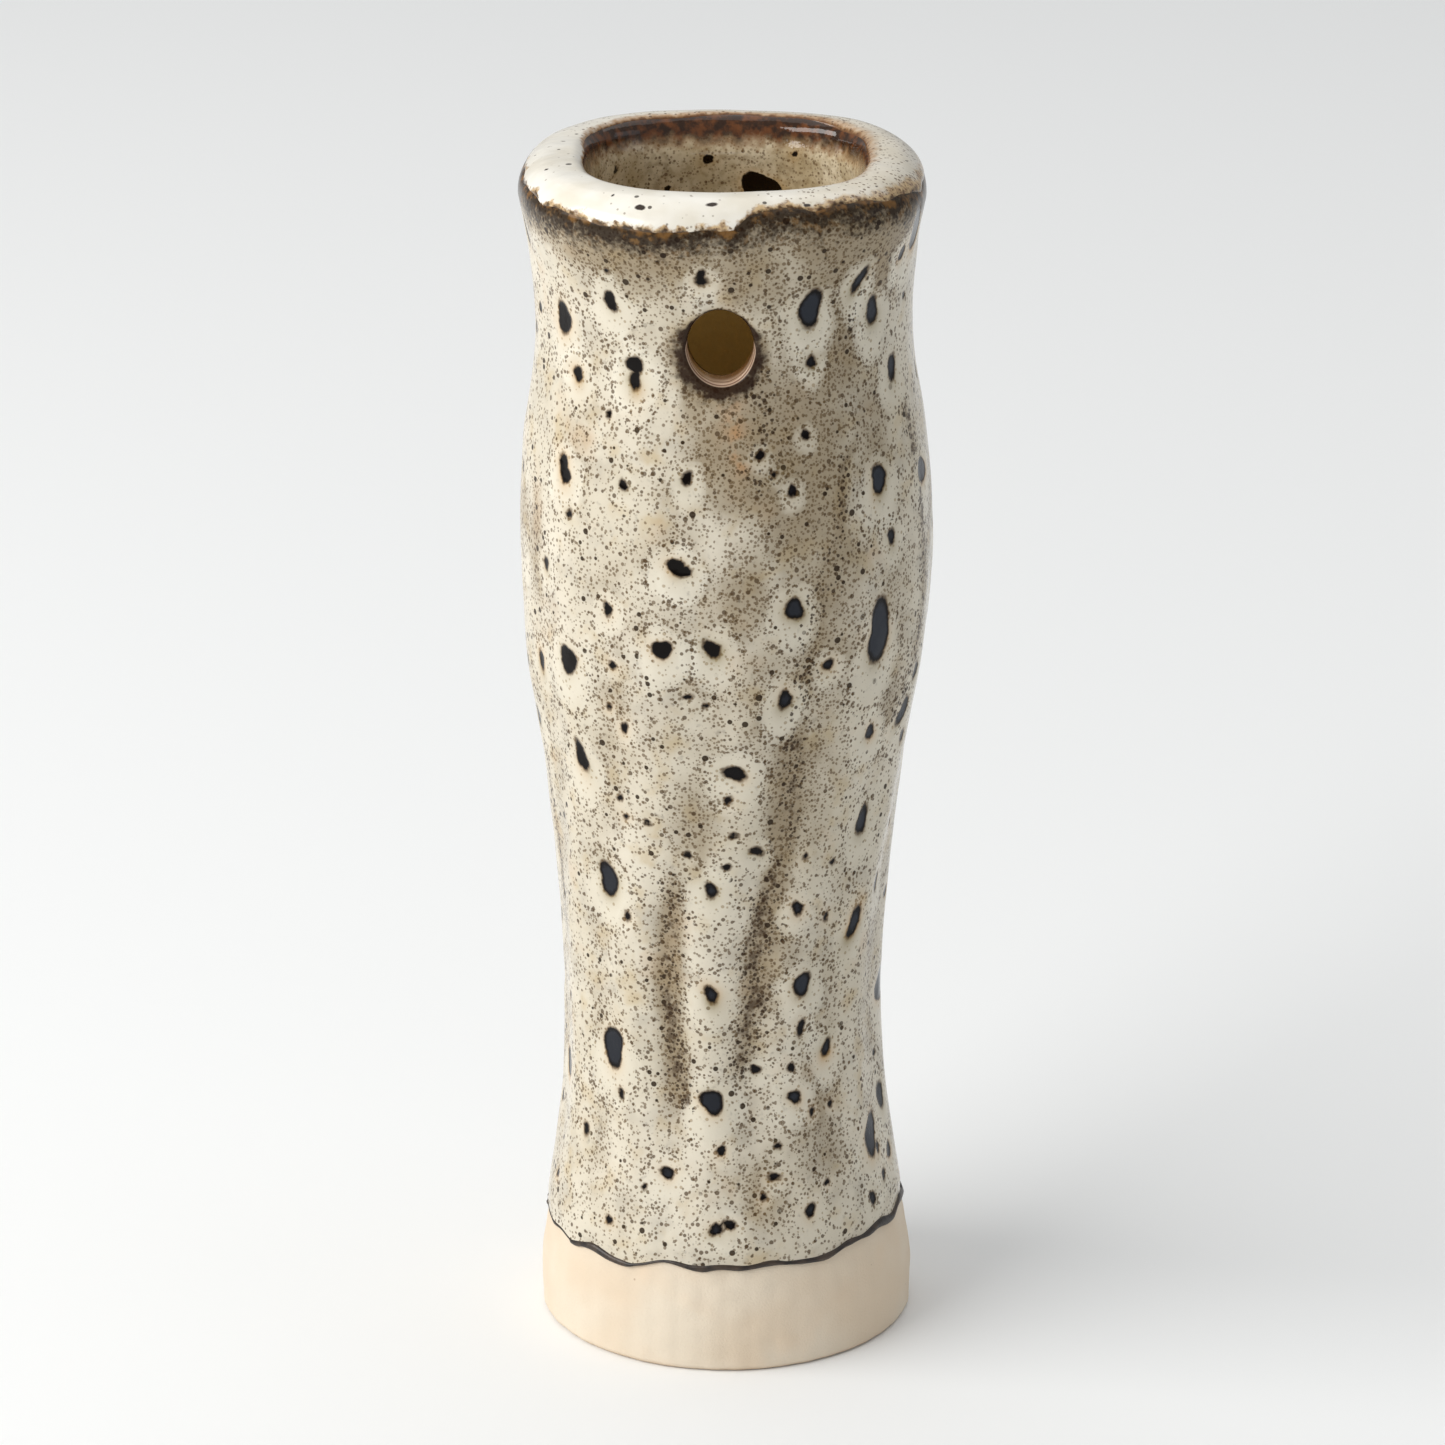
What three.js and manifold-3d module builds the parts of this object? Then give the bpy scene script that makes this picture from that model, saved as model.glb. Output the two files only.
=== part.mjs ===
// Stoneware pottery vase: a tall waisted pot with a thick rolled lip and one round hole through the
// front of its neck. Millimetres, +Z up, the origin at the middle of the foot, the hole facing -Y.
//
// The clay is three members that were joined wet (floor slab, wall, lip roll). The glaze coats lie on
// them as thin skins. Every coat follows the same hand-made outline, a coat's thickness further out.

import * as THREE from 'three';
import { mergeVertices } from 'three/addons/utils/BufferGeometryUtils.js';
import Module from 'manifold-3d';

const wasm = await Module();
wasm.setup();

// ---------- Driving dimensions ----------

const HEIGHT = 190;
const SECTORS = 48; // faces round the pot
const OUTER_LEVEL = 10; // height of one row of faces, outside
const INNER_LEVEL = 20; // and inside

const GAP = 0.2; // between two pieces that touch
const GLAZE = 0.5; // thickness of a glaze coat
const COAT = GAP + GLAZE; // how far a glazed face stands off the clay
const WALL = 5.2; // clay wall
const FLOOR = 6; // clay floor slab
const FOOT_EASE = 1.2; // rounding of the foot's outer corner
const FLOOR_CURVE = 7; // radius of the inside corner where wall meets floor

// The clay's outer radius at each height: foot, waist, belly, neck and lip.
const OUTLINE = [
  [0, 29.5],
  [8, 29.6],
  [20, 27.7],
  [34, 25.4],
  [55, 24.3],
  [75, 25.4],
  [95, 27.6],
  [112, 30.2],
  [126, 31.1],
  [143, 30.4],
  [163, 28.0],
  [176, 29.1],
  [185, 30.6],
];

// The lip roll: a broad outer shoulder, a tight inner corner and the seam with the wall.
const LIP_SEAM = 177;
const SHOULDER_HEIGHT = 184;
const SHOULDER_FULLNESS = 0.87; // 1 rounds the shoulder as an ellipse, less squares it
const CREST_HEIGHT = HEIGHT - COAT;
const CREST_RADIUS = 24.3;
const INNER_CORNER = 1.8;

// Glaze limits.
const RIM_GLAZE_EDGE = 184; // where the lip's glaze meets the inside and outside coats
const GLAZE_HEM = 17.5; // mean height of the outer coat's wavy lower edge
const HEM_FADE = 22; // the wave dies out over this height above the hem
const EDGE_BEAD = 0.8; // the dark rolled edge under the hem, height and thickness

// The hole through the front of the neck.
const HOLE_HEIGHT = 167;
const HOLE_ASIDE = -0.5; // its place across, from the middle of the neck
const HOLE_RADIUS = 5.7;
const HOLE_STRETCH = 1.17; // a little taller than it is wide
const HOLE_SECTORS = 28;

// ---------- The hand-made outline ----------

const outline = new THREE.CubicInterpolant(
  OUTLINE.map(([height]) => height),
  OUTLINE.map(([, radius]) => radius),
  1,
);

function clayRadius(height) {
  const inside = THREE.MathUtils.clamp(height, 0, OUTLINE.at(-1)[0]);
  return outline.evaluate(inside)[0];
}

// The pot's middle sways: the waist and the lip sit a little left of the belly and the foot.
const BELLY_HEIGHT = 126;
const SWAY = 0.3;

function lean(height) {
  return SWAY * (Math.cos((2 * Math.PI * height) / BELLY_HEIGHT) - 1);
}

// Even waves keep the outline centred while it goes slightly out of round.
function outOfRound(angle, height) {
  return 0.16 * Math.cos(2 * angle + height / 40) + 0.08 * Math.cos(4 * angle - height / 23);
}

// The lip is a little square in plan and pushed out at the front. Its mouth is squeezed in at the
// sides, more on the left than on the right.
const LIP_FADE = [170, 187]; // the heights between which all this comes in
const LIP_SQUARE = 2;
const LIP_PUSH = 1.5;
const MOUTH_SQUEEZE = 0.8;
const CREST_SPREAD = 3; // outside this width of the crest, the squeeze has gone

function lipShape(angle, height, radius) {
  const side = Math.sin(angle);
  const square = LIP_SQUARE * Math.sin(2 * angle) ** 2 * (1 + 0.15 * side);
  const push = LIP_PUSH * Math.exp(-(((angle + 0.25) / 0.6) ** 2));
  const mouth = 1 - THREE.MathUtils.smoothstep(radius, CREST_RADIUS, CREST_RADIUS + CREST_SPREAD);
  const squeeze = MOUTH_SQUEEZE * mouth * (1 - 0.4 * side) * side ** 2;
  return (square + push - squeeze) * THREE.MathUtils.smoothstep(height, ...LIP_FADE);
}

// Two shallow finger valleys run down the lower front, one on each side of a soft ridge.
const VALLEYS = [
  { top: 84, bottom: 40, from: -0.44, to: -0.27 },
  { top: 102, bottom: 42, from: 0.38, to: 0.16 },
];
const VALLEY_DEPTH = 0.5;
const VALLEY_SPREAD = 0.13; // radians
const VALLEY_END = 9; // height over which a valley fades out

function valleys(angle, height) {
  let depth = 0;
  for (const { top, bottom, from, to } of VALLEYS) {
    const along = THREE.MathUtils.clamp((top - height) / (top - bottom), 0, 1);
    const middle = from + (to - from) * Math.sqrt(along);
    const ends =
      THREE.MathUtils.smoothstep(height, bottom - VALLEY_END, bottom + VALLEY_END) *
      (1 - THREE.MathUtils.smoothstep(height, top - VALLEY_END, top + VALLEY_END));
    depth += VALLEY_DEPTH * ends * Math.exp(-(((angle - middle) / VALLEY_SPREAD) ** 2));
  }
  return depth;
}

// The outer coat's lower edge dips and rises round the foot.
function hemWave(angle) {
  return 0.9 * Math.sin(angle) + 0.35 * Math.cos(5 * angle + 0.6);
}

// ---------- From a turned profile to the hand-made pot ----------

// Turns a closed profile of [radius, height] points about the Z axis, then gives every point the
// pot's sway and waves, and those on the outside its valleys. A point keeps its distance from the
// outline when the hem moves it.
function turned(profile, followsHem = false) {
  const points = profile.map(([radius, height]) => new THREE.Vector2(radius, height));
  const geometry = new THREE.LatheGeometry([...points, points[0]], SECTORS);
  geometry.rotateX(Math.PI / 2);
  const place = geometry.attributes.position;
  for (let i = 0; i < place.count; i += 1) {
    const angle = Math.atan2(place.getX(i), -place.getY(i));
    let radius = Math.hypot(place.getX(i), place.getY(i));
    let height = place.getZ(i);
    if (followsHem) {
      const fade = THREE.MathUtils.smoothstep(height, GLAZE_HEM, GLAZE_HEM + HEM_FADE);
      const moved = hemWave(angle) * (1 - fade);
      radius += clayRadius(height + moved) - clayRadius(height);
      height += moved;
    }
    if (radius > clayRadius(height) - WALL / 2) {
      radius -= valleys(angle, height);
    }
    if (radius > 0.01) {
      radius += outOfRound(angle, height) + lipShape(angle, height, radius);
    }
    place.setXYZ(i, radius * Math.sin(angle) + lean(height), -radius * Math.cos(angle), height);
  }
  return geometry;
}

function line(from, to, steps, radiusAt) {
  return Array.from({ length: steps + 1 }, (_, i) => {
    const height = from + ((to - from) * i) / steps;
    return [radiusAt(height), height];
  });
}

// A line up the pot with its points on whole levels, so that neighbouring coats bend at the same heights.
function levelLine(low, high, level, radiusAt) {
  const heights = [low];
  for (let height = level * Math.ceil((low + 1) / level); height < high - 1; height += level) {
    heights.push(height);
  }
  return [...heights, high].map((height) => [radiusAt(height), height]);
}

// An elliptical arc about (radius, height) from one angle to another, in quarter turns.
function arc([radius, height], [wide, high], from, to, steps) {
  return Array.from({ length: steps + 1 }, (_, i) => {
    const turn = ((from + ((to - from) * i) / steps) * Math.PI) / 2;
    return [radius + wide * Math.cos(turn), height + high * Math.sin(turn)];
  });
}

const outside = (coat) => (height) => clayRadius(height) + coat;
const inside = (coat) => (height) => clayRadius(height) - WALL - coat;

// The inner face of the lip closes in from the wall to the crest's inner corner.
function lipInside(coat) {
  const top = CREST_HEIGHT - INNER_CORNER;
  const throat = CREST_RADIUS - INNER_CORNER;
  return (height) => {
    const rise = THREE.MathUtils.smoothstep(height, LIP_SEAM, top);
    return THREE.MathUtils.lerp(clayRadius(LIP_SEAM) - WALL, throat, rise) - coat;
  };
}

// Over the lip, from the outer shoulder to the inner corner, a coat's thickness off the clay.
function overLip(coat) {
  const wide = clayRadius(SHOULDER_HEIGHT) - CREST_RADIUS + coat;
  const high = CREST_HEIGHT - SHOULDER_HEIGHT + coat;
  const corner = INNER_CORNER + coat;
  return [
    ...arc([0, 0], [1, 1], 0, 1, 4).map(([across, up]) => [
      CREST_RADIUS + wide * across ** SHOULDER_FULLNESS,
      SHOULDER_HEIGHT + high * up ** SHOULDER_FULLNESS,
    ]),
    ...arc([CREST_RADIUS, CREST_HEIGHT - INNER_CORNER], [corner, corner], 1, 2, 2).slice(1),
  ];
}

// ---------- Solids joined and cut ----------

function toSolid(geometry) {
  const bare = geometry.clone();
  bare.deleteAttribute('normal');
  bare.deleteAttribute('uv');
  const merged = mergeVertices(bare, 1e-3);
  return new wasm.Manifold(
    new wasm.Mesh({
      numProp: 3,
      vertProperties: new Float32Array(merged.attributes.position.array),
      triVerts: new Uint32Array(merged.index.array),
    }),
  );
}

function toGeometry(solid) {
  const mesh = solid.getMesh();
  const geometry = new THREE.BufferGeometry();
  geometry.setAttribute('position', new THREE.BufferAttribute(mesh.vertProperties, 3));
  geometry.setIndex(new THREE.BufferAttribute(mesh.triVerts, 1));
  geometry.computeVertexNormals();
  return geometry;
}

// A straight plug along Y through the front wall at the hole.
function holePlug(radius) {
  const length = 30;
  const plug = new THREE.CylinderGeometry(radius, radius, length, HOLE_SECTORS);
  plug.scale(1, 1, HOLE_STRETCH);
  plug.translate(lean(HOLE_HEIGHT) + HOLE_ASIDE, -clayRadius(HOLE_HEIGHT), HOLE_HEIGHT);
  return toSolid(plug);
}

const holed = (geometry) => toGeometry(toSolid(geometry).subtract(holePlug(HOLE_RADIUS)));

// ---------- Clay ----------

function bodyWall() {
  const top = LIP_SEAM - GAP;
  return holed(
    turned([
      [clayRadius(0) - WALL, 0],
      [clayRadius(0) - FOOT_EASE, 0],
      ...levelLine(FOOT_EASE, top, OUTER_LEVEL, outside(0)),
      ...levelLine(FLOOR + FLOOR_CURVE, top, INNER_LEVEL, inside(0)).reverse(),
      [inside(0)(FLOOR), FLOOR],
    ]),
  );
}

function baseSlab() {
  const rim = (height) => clayRadius(height) - WALL - GAP;
  return turned([[0, 0], [rim(0), 0], [rim(FLOOR), FLOOR], [0, FLOOR]]);
}

function rimCoil() {
  return turned([
    ...line(LIP_SEAM, SHOULDER_HEIGHT, 2, outside(0)),
    ...overLip(0).slice(1),
    ...line(CREST_HEIGHT - INNER_CORNER, LIP_SEAM, 4, lipInside(0)).slice(1),
  ]);
}

// ---------- Glaze ----------

function outerGlaze() {
  const top = RIM_GLAZE_EDGE - GAP;
  return holed(
    turned(
      [
        ...levelLine(GLAZE_HEM, top, OUTER_LEVEL, outside(COAT)),
        ...levelLine(GLAZE_HEM, top, OUTER_LEVEL, outside(GAP)).reverse(),
      ],
      true,
    ),
  );
}

function rimGlaze() {
  return turned([...overLip(COAT), ...lipSide(COAT), ...lipSide(GAP).reverse(), ...overLip(GAP).reverse()]);
}

// The short stretch of lip glaze that runs down inside the mouth.
function lipSide(coat) {
  return line(CREST_HEIGHT - INNER_CORNER, RIM_GLAZE_EDGE, 2, lipInside(coat)).slice(1);
}

function innerGlaze() {
  const floorLine = (coat) => {
    const middle = FLOOR + coat + FLOOR_CURVE;
    const reach = inside(coat)(middle) - FLOOR_CURVE;
    return [...arc([reach, middle], [FLOOR_CURVE, FLOOR_CURVE], 4, 3, 4), [0, FLOOR + coat]];
  };
  const down = (coat) => [
    ...line(RIM_GLAZE_EDGE - GAP, LIP_SEAM, 2, lipInside(coat)),
    ...levelLine(FLOOR + coat + FLOOR_CURVE, LIP_SEAM, INNER_LEVEL, inside(coat)).reverse().slice(1, -1),
    ...floorLine(coat),
  ];
  return holed(turned([...down(COAT), ...down(GAP).reverse()]));
}

// The thin dark bead that the glaze drew together along its hem.
function glazeEdge() {
  const high = GLAZE_HEM - GAP;
  const low = high - EDGE_BEAD;
  return turned(
    [
      [outside(GAP)(low), low],
      [outside(EDGE_BEAD)(low), low],
      [outside(EDGE_BEAD)(high), high],
      [outside(GAP)(high), high],
    ],
    true,
  );
}

// The sleeve of glaze in the bore, its ends following the curved faces of the wall.
function holeGlaze() {
  const span = 14;
  const band = turned([
    ...line(HOLE_HEIGHT - span, HOLE_HEIGHT + span / 2, 4, outside(COAT)),
    ...line(HOLE_HEIGHT + span / 2, HOLE_HEIGHT - span, 4, inside(COAT)),
  ]);
  const sleeve = holePlug(HOLE_RADIUS - GAP).subtract(holePlug(HOLE_RADIUS - COAT));
  return toGeometry(toSolid(band).intersect(sleeve));
}

// ---------- The vase ----------

function piece(name, geometry, color, roughness) {
  const mesh = new THREE.Mesh(geometry, new THREE.MeshStandardMaterial({ color, roughness, metalness: 0 }));
  mesh.name = name;
  return mesh;
}

const CLAY = '#e6dac4';
const SPECKLED = '#cdbfa4';

const vase = new THREE.Group();
vase.add(
  piece('base_slab', baseSlab(), CLAY, 0.9),
  piece('body_wall', bodyWall(), CLAY, 0.9),
  piece('rim_coil', rimCoil(), CLAY, 0.9),
  piece('outer_glaze', outerGlaze(), SPECKLED, 0.25),
  piece('rim_glaze', rimGlaze(), '#efeadc', 0.2),
  piece('inner_glaze', innerGlaze(), '#a89878', 0.3),
  piece('hole_glaze', holeGlaze(), '#7a5b3c', 0.3),
  piece('glaze_edge', glazeEdge(), '#3a2a1c', 0.4),
);

export default vase;
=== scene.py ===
"""Stoneware vase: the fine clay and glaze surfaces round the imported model, with a plain studio.

The pot is worked in millimetres, as (radius, height) rows turned about the Z axis. An angle of 0
faces the camera, where the hole is, and angles grow to the right.
"""

import math

import bpy
import numpy as np
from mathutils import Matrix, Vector


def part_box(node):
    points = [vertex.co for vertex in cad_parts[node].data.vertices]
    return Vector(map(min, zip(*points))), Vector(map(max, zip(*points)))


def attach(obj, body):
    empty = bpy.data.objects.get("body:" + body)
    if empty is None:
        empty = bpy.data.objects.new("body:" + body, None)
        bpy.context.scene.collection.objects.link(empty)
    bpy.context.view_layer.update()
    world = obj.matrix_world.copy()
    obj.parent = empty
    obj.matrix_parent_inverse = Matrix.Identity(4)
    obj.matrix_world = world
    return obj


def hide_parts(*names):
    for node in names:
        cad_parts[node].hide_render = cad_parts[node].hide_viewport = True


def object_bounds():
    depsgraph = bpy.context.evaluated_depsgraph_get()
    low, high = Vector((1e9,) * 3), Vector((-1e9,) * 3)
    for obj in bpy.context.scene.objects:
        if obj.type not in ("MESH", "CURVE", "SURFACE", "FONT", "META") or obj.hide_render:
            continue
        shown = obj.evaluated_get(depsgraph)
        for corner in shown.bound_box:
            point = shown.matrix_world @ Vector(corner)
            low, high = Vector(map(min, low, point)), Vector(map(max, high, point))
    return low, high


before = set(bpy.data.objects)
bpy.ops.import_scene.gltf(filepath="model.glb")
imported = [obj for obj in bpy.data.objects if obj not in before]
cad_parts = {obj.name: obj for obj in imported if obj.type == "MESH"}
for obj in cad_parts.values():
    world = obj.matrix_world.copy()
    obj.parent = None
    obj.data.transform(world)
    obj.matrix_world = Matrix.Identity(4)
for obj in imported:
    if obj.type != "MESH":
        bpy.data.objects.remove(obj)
CAD_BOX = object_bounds()

MM = 0.001
TAU = 2 * math.pi


def box_mm(node):
    low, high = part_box(node)
    return np.array(low) / MM, np.array(high) / MM


# ---------- Driving dimensions, from the frame ----------

HEIGHT = CAD_BOX[1].z / MM
RIM_COAT_LOW = box_mm("rim_glaze")[0][2]
CLAY_CREST = box_mm("rim_coil")[1][2]
COAT = HEIGHT - CLAY_CREST  # how far a glazed face stands off the clay
FLOOR = box_mm("base_slab")[1][2]
BEAD_LOW, BEAD_HIGH = box_mm("glaze_edge")
HEM = (BEAD_LOW[2] + BEAD_HIGH[2]) / 2 + 0.4  # the bead hangs just under the outer coat's hem
HOLE_LOW, HOLE_HIGH = box_mm("hole_glaze")
HOLE_X = (HOLE_LOW[0] + HOLE_HIGH[0]) / 2
HOLE_HEIGHT = (HOLE_LOW[2] + HOLE_HIGH[2]) / 2

# Height and the clay's outer radius there, from the foot by the waist, belly and neck to the lip.
OUTLINE = (
    (0, 29.5),
    (8, 29.6),
    (20, 27.7),
    (34, 25.4),
    (55, 24.3),
    (75, 25.4),
    (95, 27.6),
    (112, 30.2),
    (126, 31.1),
    (143, 30.4),
    (163, 28.0),
    (176, 29.1),
    (185, 30.6),
)
WALL = 5.2
GAP = 0.2
SHOULDER = RIM_COAT_LOW
CREST_RADIUS = 24.3
INNER_CORNER = 1.8
CORNER_START = CLAY_CREST - INNER_CORNER
LIP_SEAM = 177
SHOULDER_FULLNESS = 0.87  # 1 rounds the shoulder as an ellipse, less squares it
BELLY_HEIGHT = 126
SWAY = 0.3
FLOOR_CURVE = 7

BORE = (HOLE_HIGH[0] - HOLE_LOW[0]) / 2 - 0.5  # radius of the glazed bore
BORE_STRETCH = (HOLE_HIGH[2] - HOLE_LOW[2]) / (HOLE_HIGH[0] - HOLE_LOW[0])
BORE_FILLET = 0.9  # the outer glaze rolls over into the bore

# ---------- The hand-made outline ----------


def smoothstep(low, high, value):
    t = np.clip((value - low) / (high - low), 0, 1)
    return t * t * (3 - 2 * t)


def clay_radius(height):
    heights, radii = np.array(OUTLINE).T
    slopes = np.gradient(radii, heights)
    at = np.clip(height, heights[0], heights[-1])
    i = np.clip(np.searchsorted(heights, at) - 1, 0, len(heights) - 2)
    span = heights[i + 1] - heights[i]
    t = (at - heights[i]) / span
    start = (1 + 2 * t) * (1 - t) ** 2 * radii[i] + t * (1 - t) ** 2 * span * slopes[i]
    end = t * t * (3 - 2 * t) * radii[i + 1] + t * t * (t - 1) * span * slopes[i + 1]
    return start + end


def sway(height):
    return SWAY * (np.cos(TAU * height / BELLY_HEIGHT) - 1)


HOLE_ASIDE = HOLE_X - sway(HOLE_HEIGHT)  # the hole's place across, from the middle of the neck


def out_of_round(angle, height):
    return 0.16 * np.cos(2 * angle + height / 40) + 0.08 * np.cos(4 * angle - height / 23)


# The lip is a little square in plan and pushed out at the front. Its mouth is squeezed in at the
# sides, more on the left than on the right.
LIP_FADE = (170, 187)
LIP_SQUARE = 2
LIP_PUSH = 1.5
MOUTH_SQUEEZE = 0.8
CREST_SPREAD = 3  # outside this width of the crest, the squeeze has gone


def lip_shape(angle, height, radius):
    side = np.sin(angle)
    square = LIP_SQUARE * np.sin(2 * angle) ** 2 * (1 + 0.15 * side)
    push = LIP_PUSH * np.exp(-(((angle + 0.25) / 0.6) ** 2))
    mouth = 1 - smoothstep(CREST_RADIUS, CREST_RADIUS + CREST_SPREAD, radius)
    squeeze = MOUTH_SQUEEZE * mouth * (1 - 0.4 * side) * side**2
    return (square + push - squeeze) * smoothstep(*LIP_FADE, height)


# Two shallow finger valleys run down the lower front, one on each side of a soft ridge: the height
# of the top and the bottom, then the angle at each.
VALLEYS = ((84, 40, -0.44, -0.27), (102, 42, 0.38, 0.16))
VALLEY_DEPTH = 0.5
VALLEY_SPREAD = 0.13
VALLEY_END = 9


def valleys(angle, height):
    depth = 0
    for top, bottom, start, end in VALLEYS:
        along = np.clip((top - height) / (top - bottom), 0, 1)
        middle = start + (end - start) * np.sqrt(along)
        ends = smoothstep(bottom - VALLEY_END, bottom + VALLEY_END, height) * (
            1 - smoothstep(top - VALLEY_END, top + VALLEY_END, height)
        )
        depth = depth + VALLEY_DEPTH * ends * np.exp(-(((angle - middle) / VALLEY_SPREAD) ** 2))
    return depth


# Soft vertical flutes, left by squeezing fingers; they drift round as they climb.
FLUTES = 12
FLUTE_DEPTH = 0.28
FLUTE_PHASE = 0.84
FLUTE_DRIFT = -2.93
FLUTE_SWING = 0.9


def flutes(angle, height):
    """-1 in a hollow to 1 on a ridge, fading out towards the foot and the lip."""
    drift = FLUTE_DRIFT * smoothstep(66, 98, height)
    drift = drift + FLUTE_SWING * np.sin(height / 19) * smoothstep(98, 130, height)
    fade = smoothstep(20, 34, height) * (1 - 0.6 * smoothstep(110, 140, height))
    fade = fade * (1 - smoothstep(160, 176, height))
    return fade * np.cos(FLUTES * angle + FLUTE_PHASE + drift)


def hem_height(angle):
    """The outer coat's lower edge: it rises to the right, with small uneven scallops."""
    wave = 0.9 * np.sin(angle) + 0.35 * np.cos(5 * angle + 0.6)
    scallops = 0.3 * np.abs(np.sin(7 * angle + 0.8)) + 0.12 * np.cos(23 * angle + 1)
    drip = 0.3 * np.cos(11 * angle + 3.3) + 0.18 * np.cos(17 * angle + 0.5)
    return HEM + wave + scallops + drip


# Where the white lip glaze ends outside, in degrees and millimetres along the surface.
LIP_EDGE = (
    (-180, 188.3),
    (-120, 187.4),
    (-80, 186.6),
    (-55, 186.2),
    (-35, 185.8),
    (-24, 185.3),
    (-17, 185.2),
    (-10, 185.6),
    (-1, 185.4),
    (3, 185.9),
    (7, 187.7),
    (12, 188.3),
    (18, 188.4),
    (25, 187.9),
    (34, 188.2),
    (44, 187.6),
    (56, 187.0),
    (72, 186.2),
    (100, 185.8),
    (140, 187.4),
    (180, 188.3),
)


def lip_edge(angle):
    base = np.interp(np.degrees(angle), *np.array(LIP_EDGE).T)
    return base + 0.2 * np.cos(17 * angle + 1) + 0.12 * np.cos(31 * angle + 2)


# ---------- Surfaces ----------


def ripple(place, wavelength, seed, waves=16):
    """Smooth noise in space, about -1 to 1."""
    rng = np.random.default_rng(seed)
    total = np.zeros(place.shape[:-1])
    for _ in range(waves):
        direction = rng.normal(size=3)
        direction /= np.linalg.norm(direction)
        stretch = rng.uniform(0.7, 1.4)
        total += np.cos(TAU * stretch * (place @ direction) / wavelength + rng.uniform(0, TAU))
    return total / math.sqrt(waves)


def stand(radius, height, angle, outside=True):
    """Points of the pot in millimetres from turned radius, height and angle."""
    worn = radius + out_of_round(angle, height) + lip_shape(angle, height, radius)
    if outside:
        worn = worn - valleys(angle, height) + FLUTE_DEPTH * flutes(angle, height)
    x = worn * np.sin(angle) + sway(height)
    y = -worn * np.cos(angle)
    return np.stack([x, y, height + 0 * angle], axis=-1)


def arc(centre, radii, start, end, steps):
    """(radius, height) points of an elliptical arc, its ends given in quarter turns."""
    turn = np.linspace(start, end, steps) * math.pi / 2
    return np.stack([centre[0] + radii[0] * np.cos(turn), centre[1] + radii[1] * np.sin(turn)], axis=-1)


def face_rows(radius_at, heights):
    return np.stack([radius_at(heights), heights], axis=-1)


def shoulder_arc(steps):
    """(radius, height) points from the shoulder up to the crest, squarer than an ellipse."""
    wide = clay_radius(np.array(SHOULDER)) - CREST_RADIUS
    high = CLAY_CREST - SHOULDER
    across, up = np.clip(arc((0, 0), (1, 1), 0, 1, steps), 0, 1).T ** SHOULDER_FULLNESS
    return np.stack([CREST_RADIUS + wide * across, SHOULDER + high * up], axis=-1)


def outer_rows(step):
    """Clay face from the hem over the shoulder to the crest: radius, height, and way along it."""
    heights = np.arange(HEM, SHOULDER, step)
    wall = face_rows(clay_radius, heights)
    rows = np.concatenate([wall, shoulder_arc(int(10 / step))])
    way = way_along(rows)
    return rows, way - way[len(wall)] + SHOULDER


def way_along(rows):
    """Distance along the rows, from 0 at the first."""
    return np.concatenate([[0], np.cumsum(np.hypot(*np.diff(rows, axis=0).T))])


def row_normals(rows):
    along = np.gradient(rows, axis=0)
    normal = np.stack([along[:, 1], -along[:, 0]], axis=-1)
    return normal / np.linalg.norm(normal, axis=1, keepdims=True)


def inside_radius(height):
    """Clay inner face, closing in to the lip's throat above the seam."""
    throat = CREST_RADIUS - INNER_CORNER
    seam = clay_radius(np.array(float(LIP_SEAM))) - WALL
    rise = smoothstep(LIP_SEAM, CORNER_START, height)
    return np.where(height < LIP_SEAM, clay_radius(height) - WALL, seam + (throat - seam) * rise)


def grid_faces(rows, columns, closed=False, first=0):
    """Quads between neighbouring rings of vertices, all the way round."""
    ring = np.arange(rows if closed else rows - 1)[:, None]
    column = np.arange(columns)[None, :]
    this, after = ring * columns, (ring + 1) % rows * columns
    beside = (column + 1) % columns
    quads = np.stack([this + column, this + beside, after + beside, after + column], axis=-1)
    return quads.reshape(-1, 4) + first


def add_object(name, data):
    thing = bpy.data.objects.new(name, data)
    bpy.context.scene.collection.objects.link(thing)
    return thing


def make_mesh(name, points, quads, node, material, fields=None):
    """A smooth piece from points in millimetres, standing for one CAD node."""
    mesh = bpy.data.meshes.new(name)
    mesh.from_pydata((points * MM).tolist(), [], quads.tolist())
    for field, values in (fields or {}).items():
        layer = mesh.attributes.new(field, "FLOAT", "POINT")
        layer.data.foreach_set("value", np.ascontiguousarray(values, dtype=np.float32).ravel())
    mesh.polygons.foreach_set("use_smooth", np.ones(len(mesh.polygons), dtype=bool))
    mesh.materials.append(material)
    mesh.update()
    piece = add_object(name, mesh)
    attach(piece, "root")
    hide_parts(node)
    return piece


# ---------- Iron spots ----------

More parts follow.
